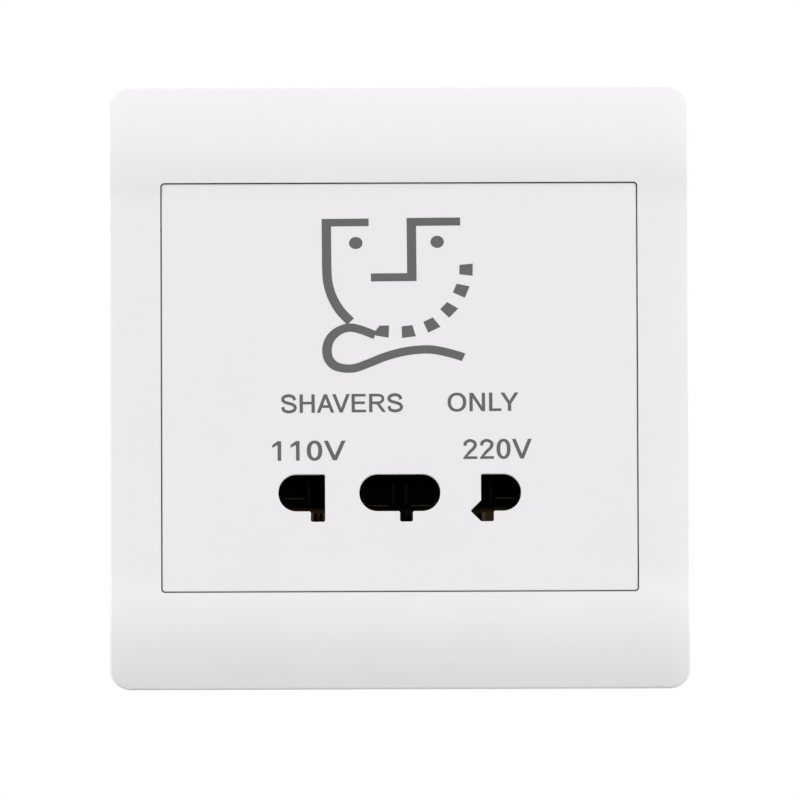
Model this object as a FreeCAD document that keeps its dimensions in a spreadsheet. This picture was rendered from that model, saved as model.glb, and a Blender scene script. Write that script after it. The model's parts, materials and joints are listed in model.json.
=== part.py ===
import FreeCAD, Part
import math
import os
import re

import Sketcher
from FreeCAD import Vector

# A wall shaver socket with a 110 V and a 220 V outlet, in millimetres.
# X runs to the right, Z up, and the wall is the plane Y = 0 with the front towards -Y.
# The origin is the middle of the two wall screws.

# Driving dimensions

SIZES = {
    # Cover frame, a curved shell that stands on the wall
    "plate_width": 86.3,
    "plate_height": 89.6,
    "plate_corner": 3.0,
    "frame_crest": 9.0,
    "frame_wall": 2.0,
    "frame_edge_round": 0.5,
    "crest_share": 0.244,
    "drop_share": 0.2213,
    "dip_radius": 20.0,
    "dip_run": 0.6,
    "side_flat": 2.3,
    "side_radius": 16.0,
    "pillow_back": 1.0,
    "pillow_turn": 65.0,
    "collar_wall": 1.4,
    "collar_clearance": 0.1,
    "barb_width": 9.0,
    "barb_place": 20.0,
    "barb_catch": 0.7,
    "barb_lip": 0.4,
    "barb_slope": 1.1,
    "barb_clearance": 0.1,
    "pry_width": 12.0,
    "pry_depth": 1.2,
    # Socket panel
    "panel_width": 70.55,
    "panel_height": 60.55,
    "panel_gap": 0.18,
    "panel_corner": 0.4,
    "panel_recess": 0.05,
    "panel_skin": 2.2,
    "panel_edge_round": 0.2,
    "skirt_wall": 1.5,
    "flange_reach": 1.5,
    "flange_thick": 1.5,
    "boss_radius": 2.6,
    "boss_height": 4.0,
    "pilot_radius": 1.0,
    "pilot_floor": 1.6,
    "press_rib": 1.6,
    "press_rib_height": 11.0,
    "locating_rib": 1.2,
    "locating_rib_depth": 3.0,
    # Plug apertures, measured from the middle of the plate
    "aperture_drop": 12.95,
    "aperture_height": 5.47,
    "aperture_round": 2.68,
    "aperture_corner": 0.25,
    "aperture_lead_in": 0.15,
    "tail_depth": 1.55,
    "left_outer": 18.03,
    "left_inner": 11.1,
    "left_tail": 2.13,
    "middle_reach": 6.01,
    "middle_tail_start": 0.02,
    "middle_tail": 1.91,
    "right_inner": 12.05,
    "right_outer": 18.0,
    "right_tail": 1.9,
    "arrow_reach": 1.57,
    "arrow_half": 1.55,
    # Mounting bracket
    "bracket_gap": 1.5,
    "bracket_corner": 2.5,
    "bracket_thick": 2.5,
    "bracket_stand": 2.0,
    "bracket_rim": 2.2,
    "bracket_rib": 1.5,
    "screw_gap": 4.15,
    "screw_slot_radius": 2.1,
    "screw_slot_run": 0.5,
    "screw_pad_height": 13.0,
    "screw_seat_depth": 1.2,
    "screw_seat_half": 4.4,
    "screw_seat_reach": 3.2,
    # Rear case
    "case_width": 52.0,
    "case_height": 56.4,
    "case_depth": 38.2,
    "case_wall": 1.6,
    "case_corner": 2.5,
    "case_rear_round": 1.0,
    "bay_corner": 1.0,
    "case_clearance": 0.3,
    "column_radius": 3.4,
    "column_seat": 5.0,
    "case_screw_head_radius": 2.3,
    "case_screw_head": 1.8,
    "case_screw_radius": 1.3,
    "case_screw_bite": 3.6,
    "screw_clearance": 0.1,
    "head_clearance": 0.3,
    "drive_radius": 1.1,
    "drive_depth": 1.0,
    "ledge_reach": 4.0,
    "ledge_thick": 1.5,
    "ledge_start": 5.0,
    "latch_place": 11.0,
    "latch_width": 8.0,
    "latch_catch": 0.9,
    "latch_lip": 0.6,
    "latch_slope": 5.0,
    "latch_slit": 1.0,
    # Contact carrier, its cover and the three contacts
    "carrier_depth": 15.7,
    "carrier_wall": 0.9,
    "carrier_corner": 1.0,
    "carrier_head": 1.2,
    "carrier_clearance": 0.15,
    "well_margin": 0.55,
    "ear_reach": 2.6,
    "ear_thick": 3.0,
    "ear_height": 5.0,
    "stop_rib_depth": 3.0,
    "cover_thick": 1.5,
    "cover_inset": 0.4,
    "stake_place": 8.4,
    "stake_radius": 0.9,
    "stake_clearance": 0.1,
    "strip": 0.5,
    "web_shelf": 0.5,
    "web_clearance": 0.1,
    "jaw_pitch": 19.0,
    "jaw_outer": 15.8,
    "jaw_half": 1.6,
    "jaw_flare": 0.4,
    "jaw_height": 3.2,
    "jaw_mouth": 3.7,
    "flare_length": 1.8,
    "fork_half": 0.25,
    "fork_flare": 0.45,
    "fork_drop": 0.1,
    "right_fork_shift": 0.5,
    "tag_width": 2.4,
    "tag_length": 3.5,
    "tag_side": 13.0,
    "tag_clearance": 0.15,
    # Transformer
    "core_side_gap": 0.4,
    "core_press": 2.8,
    "core_stack": 18.0,
    "core_lift": 9.5,
    "core_hole_radius": 1.75,
    "core_clearance": 0.1,
    "bobbin_clearance": 0.2,
    "bobbin_wall": 0.9,
    "bobbin_end_gap": 0.3,
    "bobbin_flange": 1.0,
    "flange_side_gap": 0.3,
    "winding_side_gap": 1.0,
    "winding_corner": 1.5,
    "winding_gap": 0.1,
    "tape_thick": 0.3,
    "cutout_length": 8.5,
    "cutout_width": 3.0,
    "cutout_height": 5.6,
    "cutout_drop": 0.6,
    "cutout_round": 0.6,
    # Mains terminals
    "block_half": 13.5,
    "block_height": 11.2,
    "block_depth": 11.6,
    "clamp_place": 7.0,
    "clamp_half": 3.4,
    "clamp_height": 7.2,
    "clamp_lift": 2.8,
    "clamp_depth": 9.5,
    "clamp_set_back": 0.6,
    "clamp_clearance": 0.1,
    "wire_bore_radius": 1.9,
    "wire_bore_depth": 7.5,
    "entry_margin": 0.8,
    "entry_corner": 0.6,
    "clamp_screw_radius": 1.5,
    "clamp_screw_head_radius": 2.3,
    "clamp_screw_head": 1.6,
    "clamp_screw_from_rear": 5.0,
    "clamp_tag_length": 4.0,
    # Internal wiring
    "lead_radius": 0.6,
    "lead_bend": 1.6,
    "lead_dip": 3.0,
    "lead_side_start": 9.0,
    "mains_lead_start": 10.0,
    "link_inset": 1.0,
}

# Places that follow from the driving dimensions

PLACES = {
    "plate_x": "plate_width / 2",
    "plate_z": "plate_height / 2",
    "cavity_x": "plate_x - frame_wall",
    "cavity_z": "plate_z - frame_wall",
    "panel_x": "panel_width / 2",
    "panel_z": "panel_height / 2",
    "window_x": "panel_x + panel_gap",
    "window_z": "panel_z + panel_gap",
    "band_crest": "crest_share * (plate_z - window_z)",
    "crest_z": "window_z + band_crest",
    "band_run": "plate_z - crest_z",
    "band_drop": "drop_share * band_run",
    "band_radius": "(band_run ^ 2 + band_drop ^ 2) / (2 * band_drop)",
    "band_tilt": "asin((band_run + frame_wall / 2) / band_radius)",
    "dip_tilt": "asin(band_crest / band_radius)",
    "dip_start": "window_z - dip_run * cos(dip_tilt) - dip_radius * sin(dip_tilt)",
    "band_dip": "(band_radius + dip_radius) * (1 - cos(dip_tilt)) + dip_run * sin(dip_tilt)",
    "crest_y": "-frame_crest",
    "turn_y": "side_radius - frame_crest",
    "flat_x": "window_x + side_flat",
    "panel_front": "crest_y + band_dip + panel_recess",
    "panel_rear": "panel_front + panel_skin",
    "bracket_rear": "-bracket_stand",
    "bracket_front": "bracket_rear - bracket_thick",
    "flange_front": "bracket_front - flange_thick",
    "collar_end": "flange_front - collar_clearance",
    "barb_front": "bracket_rear + barb_clearance",
    "bracket_x": "cavity_x - bracket_gap",
    "bracket_z": "cavity_z - bracket_gap",
    "ring_x": "bracket_x - bracket_rim",
    "ring_z": "bracket_z - bracket_rim",
    "case_x": "case_width / 2",
    "case_z": "case_height / 2",
    "screw_x": "case_x + screw_gap",
    "gate_x": "case_x + case_clearance",
    "gate_z": "case_z + case_clearance",
    "bay_x": "case_x - case_wall",
    "bay_z": "case_z - case_wall",
    "bay_rear": "case_depth - case_wall",
    "head_well_radius": "case_screw_head_radius + head_clearance",
    "column_x": "bay_x - head_well_radius",
    "column_z": "bay_z - head_well_radius",
    "column_front": "panel_rear + boss_height",
    "head_seat": "column_front + column_seat",
    "aperture_top": "-aperture_drop",
    "aperture_bottom": "aperture_top - aperture_height",
    "aperture_middle": "aperture_top - aperture_height / 2",
    "tail_bottom": "aperture_bottom - tail_depth",
    "end_round": "min(aperture_round; aperture_height / 2 - aperture_corner / 10)",
    "well_top": "aperture_top + well_margin",
    "well_bottom": "tail_bottom - well_margin",
    "left_well_outer": "left_outer + well_margin",
    "left_well_inner": "left_inner - well_margin",
    "middle_well": "middle_reach + well_margin",
    "right_well_inner": "right_inner - arrow_reach - well_margin",
    "right_well_outer": "right_outer + well_margin",
    "carrier_x": "max(left_well_outer; right_well_outer) + carrier_wall",
    "carrier_top": "well_top + carrier_head",
    "carrier_bottom": "well_bottom - carrier_wall",
    "carrier_rear": "panel_rear + carrier_depth",
    "web_front": "carrier_rear - strip",
    "ear_x": "carrier_x + ear_reach",
    "cover_rear": "carrier_rear + cover_thick",
    "tag_end": "cover_rear + tag_length",
    "jaw_front": "panel_rear + jaw_mouth",
    "jaw_top": "aperture_middle + jaw_height / 2",
    "jaw_bottom": "aperture_middle - jaw_height / 2",
    "jaw_inner": "jaw_pitch - jaw_outer",
    "fork_top": "aperture_bottom - fork_drop",
    "fork_bottom": "tail_bottom - fork_drop",
    "left_fork": "-left_inner - left_tail / 2",
    "middle_fork": "middle_tail_start + middle_tail / 2",
    "right_fork": "right_inner - right_fork_shift",
    "widest_leg": "(bay_x - core_side_gap) * 2 / 3",
    "deepest_leg": "(bay_rear - panel_rear - core_press) / 2.5",
    "lamination_leg": "min(widest_leg; deepest_leg)",
    "core_bottom": "core_lift - core_stack / 2",
    "core_top": "core_lift + core_stack / 2",
    "core_front": "bay_rear - 2.5 * lamination_leg",
    "slot_front": "core_front + lamination_leg / 2",
    "slot_rear": "bay_rear - lamination_leg / 2",
    "bobbin_front": "slot_front + bobbin_end_gap",
    "bobbin_rear": "slot_rear - bobbin_end_gap",
    "bore_x": "lamination_leg / 2 + bobbin_clearance",
    "bore_z": "core_stack / 2 + bobbin_clearance",
    "tube_x": "bore_x + bobbin_wall",
    "tube_z": "bore_z + bobbin_wall",
    "bobbin_flange_x": "lamination_leg - flange_side_gap",
    "tape_x": "lamination_leg - winding_side_gap",
    "winding_x": "tape_x - tape_thick",
    "winding_build": "winding_x - tube_x",
    "winding_z": "tube_z + winding_build",
    "tape_z": "winding_z + tape_thick",
    "bobbin_flange_z": "winding_z + winding_side_gap",
    "winding_room": "(bobbin_rear - bobbin_front - 3 * bobbin_flange) / 2",
    "secondary_front": "bobbin_front + bobbin_flange",
    "secondary_rear": "secondary_front + winding_room",
    "primary_front": "secondary_rear + bobbin_flange",
    "primary_rear": "bobbin_rear - bobbin_flange",
    "tape_bottom": "core_lift - tape_z",
    "primary_middle": "(primary_front + primary_rear) / 2",
    "secondary_middle": "(secondary_front + secondary_rear) / 2",
    "cutout_top": "core_bottom - cutout_drop",
    "cutout_bottom": "cutout_top - cutout_height",
    "cutout_middle_x": "tape_x + cutout_width / 2",
    "block_bottom": "-bay_z",
    "block_top": "block_bottom + block_height",
    "block_front": "bay_rear - block_depth",
    "clamp_bottom": "block_bottom + clamp_lift",
    "clamp_top": "clamp_bottom + clamp_height",
    "clamp_middle": "(clamp_bottom + clamp_top) / 2",
    "clamp_rear": "bay_rear - clamp_set_back",
    "clamp_front": "clamp_rear - clamp_depth",
    "clamp_tag_end": "clamp_front - clamp_tag_length",
    "clamp_tag_top": "clamp_middle + strip",
    "clamp_screw_y": "clamp_rear - clamp_screw_from_rear",
    "wire_bore_bottom": "clamp_middle - wire_bore_radius",
    "tag_top": "aperture_middle + strip / 2",
    "lead_y": "cover_rear + tag_length / 2",
    "mains_lead_y": "(clamp_tag_end + block_front) / 2",
    "link_y": "primary_middle + cutout_length / 2 - link_inset",
}

# Document and sheets

doc = FreeCAD.newDocument("shaver_socket")
sizes = doc.addObject("Spreadsheet::Sheet", "sizes")
places = doc.addObject("Spreadsheet::Sheet", "places")


def bound(text):
    """A formula over plain size names, with each name led by the sheet that holds it."""
    def full_name(word):
        name = word.group()
        home = "sizes." if name in SIZES else "places." if name in PLACES else ""
        return home + name
    return re.sub(r"[a-z_]\w*", full_name, text)


def fill_sheet(sheet, cells):
    for row, (alias, text) in enumerate(cells, start=1):
        sheet.set(f"A{row}", alias)
        sheet.set(f"B{row}", text)
        sheet.setAlias(f"B{row}", alias)
    doc.recompute()


def local(text):
    """A formula for a cell of the places sheet, where its own names stand alone."""
    return "=" + bound(text).replace("places.", "")


fill_sheet(sizes, [(name, str(size)) for name, size in SIZES.items()])
fill_sheet(places, [(name, local(text)) for name, text in PLACES.items()])


def value(text):
    return float(places.evalExpression(local(text)[1:]))


def bind(thing, prop, text):
    thing.setExpression(prop, bound(text))


# Sketch outlines: each of these gives a function that draws on a sketch

ORIGIN = (-1, 1)
START, END, CENTRE = 1, 2, 3


def constrain(sketch, rules):
    """Add constraints; a rule that ends in a formula stays bound to it."""
    first = sketch.ConstraintCount
    made = []
    for kind, places_on, text in rules:
        numbers = [value(text)] if text else []
        made.append(Sketcher.Constraint(kind, *places_on, *numbers))
    sketch.addConstraint(made)
    for step, (kind, places_on, text) in enumerate(rules):
        if text:
            bind(sketch, f"Constraints[{first + step}]", text)


def pinned(geometry, point, x, y):
    """Rules that hold a point of a sketch at x, y."""
    return [
        ("DistanceX", (*ORIGIN, geometry, point), x),
        ("DistanceY", (*ORIGIN, geometry, point), y),
    ]


def outline(*corners):
    """A closed outline of straight sides; a corner with a third value is rounded by it."""
    def draw(sketch):
        count = len(corners)
        spots = [Vector(value(c[0]), value(c[1]), 0) for c in corners]
        ins, outs, bends = [], [], []
        for i, corner in enumerate(corners):
            into = (spots[i] - spots[i - 1]).normalize()
            away = (spots[(i + 1) % count] - spots[i]).normalize()
            radius = value(corner[2]) if len(corner) > 2 else 0
            trim = radius * math.tan(into.getAngle(away) / 2)
            turn = 1 if into.cross(away).z > 0 else -1
            ins.append(spots[i] - into * trim)
            outs.append(spots[i] + away * trim)
            side = Vector(-into.y, into.x, 0) * turn
            bends.append((ins[i] + side * radius, radius, turn) if radius else None)
        sides = [Part.LineSegment(outs[i], ins[(i + 1) % count]) for i in range(count)]
        line = [sketch.addGeometry(side, False) for side in sides]
        rules = []
        for i, corner in enumerate(corners):
            if not bends[i]:
                rules.append(("Coincident", (line[i - 1], END, line[i], START), None))
                rules += pinned(line[i], START, corner[0], corner[1])
                continue
            centre, radius, turn = bends[i]
            ends = [ins[i], outs[i]][::turn]
            angles = [math.atan2(p.y - centre.y, p.x - centre.x) for p in ends]
            circle_of = Part.Circle(centre, Vector(0, 0, 1), radius)
            arc = sketch.addGeometry(Part.ArcOfCircle(circle_of, *angles), False)
            apex = sketch.addGeometry(Part.Point(spots[i]), True)
            near, far = [START, END][::turn]
            rules.append(("Tangent", (line[i - 1], END, arc, near), None))
            rules.append(("Tangent", (arc, far, line[i], START), None))
            rules.append(("Radius", (arc,), corner[2]))
            rules += pinned(apex, START, corner[0], corner[1])
            rules.append(("PointOnObject", (apex, START, line[i - 1]), None))
            rules.append(("PointOnObject", (apex, START, line[i]), None))
        constrain(sketch, rules)
    return draw


def rectangle(x0, x1, y0, y1, *corner):
    return outline((x0, y0, *corner), (x1, y0, *corner), (x1, y1, *corner), (x0, y1, *corner))


def middle_rectangle(x, y, *corner):
    return rectangle(f"-({x})", x, f"-({y})", y, *corner)


def ring_rectangle(x, y, middle, *corner):
    """A rectangle that is centred on X = 0 and on a height of its own."""
    return rectangle(f"-({x})", x, f"{middle} - ({y})", f"{middle} + ({y})", *corner)


def circle(x, y, radius):
    def draw(sketch):
        round_line = Part.Circle(Vector(value(x), value(y), 0), Vector(0, 0, 1), value(radius))
        ring = sketch.addGeometry(round_line, False)
        constrain(sketch, [("Radius", (ring,), radius)] + pinned(ring, CENTRE, x, y))
    return draw


def slot(x, y, run, radius):
    """A round-ended slot along the sketch's first axis, its arc centres run either side of x."""
    def draw(sketch):
        middle = Vector(value(x), value(y), 0)
        reach = Vector(value(run), 0, 0)
        up = Vector(0, value(radius), 0)
        normal = Vector(0, 0, 1)
        right = Part.ArcOfCircle(Part.Circle(middle + reach, normal, up.y), -math.pi / 2, math.pi / 2)
        left = Part.ArcOfCircle(Part.Circle(middle - reach, normal, up.y), math.pi / 2, math.pi * 1.5)
        top = Part.LineSegment(middle + reach + up, middle - reach + up)
        bottom = Part.LineSegment(middle - reach - up, middle + reach - up)
        r, t, l, b = [sketch.addGeometry(g, False) for g in (right, top, left, bottom)]
        rules = [
            ("Tangent", (r, END, t, START), None),
            ("Tangent", (t, END, l, START), None),
            ("Tangent", (l, END, b, START), None),
            ("Tangent", (b, END, r, START), None),
            ("Equal", (l, r), None),
            ("Radius", (r,), radius),
        ]
        rules += pinned(r, CENTRE, f"{x} + {run}", y)
        rules += pinned(l, CENTRE, f"{x} - {run}", y)
        constrain(sketch, rules)
    return draw


# Features of a body, placed by two levels along the normal of their sketch's plane

NORMAL_SIGN = {"XY": 1, "XZ": -1, "YZ": 1}


def new_body(label):
    body = doc.addObject("PartDesign::Body", label)
    body.Label = label
    return body


def new_sketch(body, name, plane, level, outlines):
    sketch = body.newObject("Sketcher::SketchObject", name + "_sketch")
    support = [f for f in body.Origin.OriginFeatures if f.Role == plane + "_Plane"]
    sketch.AttachmentSupport = (support[0], [""])
    sketch.MapMode = "FlatFace"
    bind(sketch, "AttachmentOffset.Base.z", f"{NORMAL_SIGN[plane]} * ({level})")
    for draw in outlines:
        draw(sketch)
    return sketch


def pad(body, name, plane, low, high, *outlines):
    """Material between two levels."""
    base = low if NORMAL_SIGN[plane] > 0 else high
    feature = body.newObject("PartDesign::Pad", name)
    feature.Profile = new_sketch(body, name, plane, base, outlines)
    feature.AllowMultiFace = True
    bind(feature, "Length", f"({high}) - ({low})")
    body.Tip = feature
    return feature


def pocket(body, name, plane, low, high, *outlines):
    """A cut between two levels."""
    base = high if NORMAL_SIGN[plane] > 0 else low
    feature = body.newObject("PartDesign::Pocket", name)
    feature.Profile = new_sketch(body, name, plane, base, outlines)
    feature.AllowMultiFace = True
    bind(feature, "Length", f"({high}) - ({low})")
    body.Tip = feature
    return feature


def fillet(body, name, radius, wanted):
    """Round the edges of the body's tip that the wanted test picks."""
    doc.recompute()
    base = body.Tip
    names = [f"Edge{i}" for i, edge in enumerate(base.Shape.Edges, start=1) if wanted(edge)]
    feature = body.newObject("PartDesign::Fillet", name)
    feature.Base = (base, names)
    bind(feature, "Radius", radius)
    body.Tip = feature
    return feature


def combine(body, name, kind, other):
    """Keep what the body shares with another, or cut the other away."""
    feature = body.newObject("PartDesign::Boolean", name)
    feature.Type = kind
    feature.addObject(other)
    body.Tip = feature
    return feature


def edge_points(edge):
    first, last = edge.ParameterRange
    return [edge.valueAt(first + (last - first) * share) for share in (0, 0.25, 0.5, 0.75, 1)]


def all_at(edge, axis, text):
    level = value(text)
    return all(abs(getattr(p, axis) - level) < 1e-4 for p in edge_points(edge))


BOTH_SIDES = (-1, 1)
CORNERS = [(i, k) for i in BOTH_SIDES for k in BOTH_SIDES]


# Cover frame

def pillow(name, inset):
    """The frame's front: an upright wavy section, straight across the middle and turned at the sides."""
    body = new_body(name)
    crown, dip = f"(band_radius - {inset})", f"(dip_radius + {inset})"
    end, back = "plate_z + frame_wall", "pillow_back - turn_y"
    lean = "(band_tilt - dip_tilt) / 2"
    reach = f"{crown} / cos((band_tilt + dip_tilt) / 2)"
    apex_y = f"band_radius - side_radius - {reach} * cos({lean})"
    apex_z = f"crest_z + {reach} * sin({lean})"
    dropped = f"{apex_y} + ({end} - ({apex_z})) * tan(band_tilt)"
    low_y = f"band_dip + {inset} - side_radius"
    low_z = f"dip_start + {dip} * tan(dip_tilt / 2)"
    upper = [(back, end), (dropped, end), (apex_y, apex_z, crown), (low_y, low_z, dip)]
    lower = [(y, f"-({z})", *bend) for y, z, *bend in reversed(upper)]
    section = outline(*upper, *lower)
    straight = pad(body, name + "_middle", "YZ", "-flat_x", "flat_x", section)
    bind(straight.Profile[0], "AttachmentOffset.Base.x", "turn_y")
    for side, word in zip(BOTH_SIDES, ("left", "right")):
        sketch = new_sketch(body, f"{name}_{word}", "YZ", f"{side} * flat_x", [section])
        bind(sketch, "AttachmentOffset.Base.x", "turn_y")
        turned = body.newObject("PartDesign::Revolution", f"{name}_{word}")
        turned.Profile = sketch
        turned.ReferenceAxis = (sketch, ["V_Axis"])
        turned.Reversed = side < 0
        bind(turned, "Angle", "pillow_turn")
        body.Tip = turned
    return body


def on_plate_outline(point):
    """Whether a point lies on the plate's upright walls."""
    corner = value("plate_corner")
    past_x = abs(point.x) - (value("plate_x") - corner)
    past_z = abs(point.z) - (value("plate_z") - corner)
    outside = math.hypot(max(past_x, 0), max(past_z, 0)) + min(max(past_x, past_z), 0)
    return abs(outside - corner) < 1e-3


def front_rim(edge):
    points = edge_points(edge)
    lifted = all(p.y < value("bracket_rear") for p in points)
    return lifted and all(on_plate_outline(p) for p in points)


def make_cover_frame():
    cavity = new_body("frame_cavity")
    inside = middle_rectangle("cavity_x", "cavity_z", "plate_corner - frame_wall")
    pad(cavity, "cavity_block", "XZ", "crest_y", "pillow_back", inside)
    combine(cavity, "cavity_front", "Common", pillow("inner_pillow", "frame_wall"))

    body = new_body("cover_frame")
    plate = middle_rectangle("plate_x", "plate_z", "plate_corner")
    pad(body, "frame_block", "XZ", "crest_y - frame_wall", "0", plate)
    combine(body, "frame_front", "Common", pillow("outer_pillow", "0"))
    fillet(body, "frame_rim_round", "frame_edge_round", front_rim)
    combine(body, "frame_hollow", "Cut", cavity)
    window = middle_rectangle("window_x", "window_z", "panel_corner + panel_gap")
    pocket(body, "frame_window", "XZ", "crest_y - frame_wall", "0", window)
    collar = middle_rectangle(
        "window_x + collar_wall", "window_z + collar_wall", "panel_corner + panel_gap + collar_wall"
    )
    pad(body, "frame_collar", "XZ", "crest_y + frame_wall / 2", "collar_end", collar, window)

    # Snap barbs that catch behind the rim of the bracket
    def barb(wall, rim, side):
        root, tip = f"{side} * ({wall} + frame_wall / 2)", f"{side} * ({rim} - barb_catch)"
        lip = "barb_front + barb_lip"
        return [(root, "barb_front"), (tip, "barb_front"), (tip, lip), (root, f"{lip} + barb_slope")]

    for i, k in CORNERS:
        start = f"{k} * barb_place - barb_width / 2"
        stop = f"{k} * barb_place + barb_width / 2"
        profile = barb("cavity_x", "bracket_x", i)
        pad(body, "side_barb", "XY", start, stop, outline(*profile))
        swapped = [(y, z) for z, y in barb("cavity_z", "bracket_z", i)]
        pad(body, "band_barb", "YZ", start, stop, outline(*swapped))
    notch = rectangle("-pry_width / 2", "pry_width / 2", "-plate_z - frame_wall", "-cavity_z + barb_catch")
    pocket(body, "pry_notch", "XZ", "-pry_depth", "pillow_back", notch)
    return body


# Socket panel

def aperture_outlines():
    """The three apertures, seen from the front."""
    top, bottom, tail = "aperture_top", "aperture_bottom", "tail_bottom"
    small, end = "aperture_corner", "end_round"
    left = outline(
        ("-left_outer", bottom, end), ("-left_inner - left_tail", bottom, small),
        ("-left_inner - left_tail", tail, small), ("-left_inner", tail, small),
        ("-left_inner", top, small), ("-left_outer", top, end),
    )
    tail_end = "middle_tail_start + middle_tail"
    middle = outline(
        ("-middle_reach", bottom, end), ("middle_tail_start", bottom, small),
        ("middle_tail_start", tail, small), (tail_end, tail, small), (tail_end, bottom, small),
        ("middle_reach", bottom, end), ("middle_reach", top, end), ("-middle_reach", top, end),
    )
    notch_middle = "tail_bottom + arrow_half"
    right = outline(
        ("right_inner - arrow_reach", notch_middle, small), ("right_inner", tail, small),
        ("right_inner + right_tail", tail, small), ("right_inner + right_tail", bottom, small),
        ("right_outer", bottom, end), ("right_outer", top, end), ("right_inner", top, small),
        ("right_inner", f"{notch_middle} + arrow_half", small),
    )
    return left, middle, right


def aperture_rim(edge):
    near_plugs = edge.BoundBox.ZMax < value("well_top") and edge.BoundBox.ZMin > value("well_bottom")
    return near_plugs and all_at(edge, "y", "panel_front")


def make_socket_panel():
    body = new_body("socket_panel")
    face = middle_rectangle("panel_x", "panel_z", "panel_corner")
    pad(body, "panel_face", "XZ", "panel_front", "panel_rear", face)
    fillet(body, "panel_round", "panel_edge_round", lambda edge: all_at(edge, "y", "panel_front"))
    hollow = middle_rectangle("panel_x - skirt_wall", "panel_z - skirt_wall")
    pad(body, "panel_skirt", "XZ", "panel_rear", "bracket_front", face, hollow)
    flange = middle_rectangle("panel_x + flange_reach", "panel_z + flange_reach", "panel_corner")
    pad(body, "panel_flange", "XZ", "flange_front", "bracket_front", flange, hollow)
    for name, shape in zip(("left", "middle", "right"), aperture_outlines()):
        pocket(body, name + "_aperture", "XZ", "panel_front", "panel_rear", shape)
    fillet(body, "aperture_round", "aperture_lead_in", aperture_rim)
    spots = [(f"{i} * column_x", f"{k} * column_z") for i, k in CORNERS]
    bosses = [circle(x, z, "boss_radius") for x, z in spots]
    pad(body, "screw_bosses", "XZ", "panel_rear", "column_front", *bosses)
    pilots = [circle(x, z, "pilot_radius") for x, z in spots]
    pocket(body, "screw_pilots", "XZ", "panel_front + pilot_floor", "column_front", *pilots)

    # Ribs that press on the core and hold the contact carrier in place
    leg = "lamination_leg * 1.25"
    half = "press_rib_height / 2"
    for side in BOTH_SIDES:
        rib = rectangle(
            f"{side} * ({leg} - press_rib / 2)", f"{side} * ({leg} + press_rib / 2)",
            f"core_lift - {half}", f"core_lift + {half}",
        )
        pad(body, "press_rib", "XZ", "panel_rear", "core_front", rib)
        near = f"{side} * (carrier_x + carrier_clearance)"
        far = f"{side} * (carrier_x + carrier_clearance + locating_rib)"
        rib = rectangle(near, far, "carrier_bottom + carrier_corner", "carrier_top")
        pad(body, "locating_rib", "XZ", "panel_rear", "panel_rear + locating_rib_depth", rib)
    return body


# Mounting bracket

def make_mounting_bracket():
    body = new_body("mounting_bracket")
    plate = middle_rectangle("bracket_x", "bracket_z", "bracket_corner")
    gate = middle_rectangle("gate_x", "gate_z", "case_corner + case_clearance")
    pad(body, "bracket_plate", "XZ", "bracket_front", "bracket_rear", plate, gate)
    ring = middle_rectangle("ring_x", "ring_z", "bracket_corner")
    ring_hole = middle_rectangle("ring_x - bracket_rib", "ring_z - bracket_rib")
    pad(body, "bracket_ring", "XZ", "bracket_rear", "0", ring, ring_hole)
    half_pad, half_seat = "screw_pad_height / 2", "screw_seat_half"
    for side in BOTH_SIDES:
        inner = f"{side} * gate_x"
        tall = rectangle(inner, f"{side} * (ring_x - bracket_rib / 2)", f"-{half_pad}", half_pad)
        pad(body, "screw_pad", "XZ", "bracket_rear", "0", tall)
        low = rectangle(inner, f"{side} * (screw_x + screw_seat_reach)", f"-{half_seat}", half_seat)
        pocket(body, "screw_seat", "XZ", "bracket_front", "bracket_front + screw_seat_depth", low)
        hole = slot(f"{side} * screw_x", "0", "screw_slot_run", "screw_slot_radius")
        pocket(body, "screw_slot", "XZ", "bracket_front", "0", hole)
    return body


# Rear case

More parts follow.
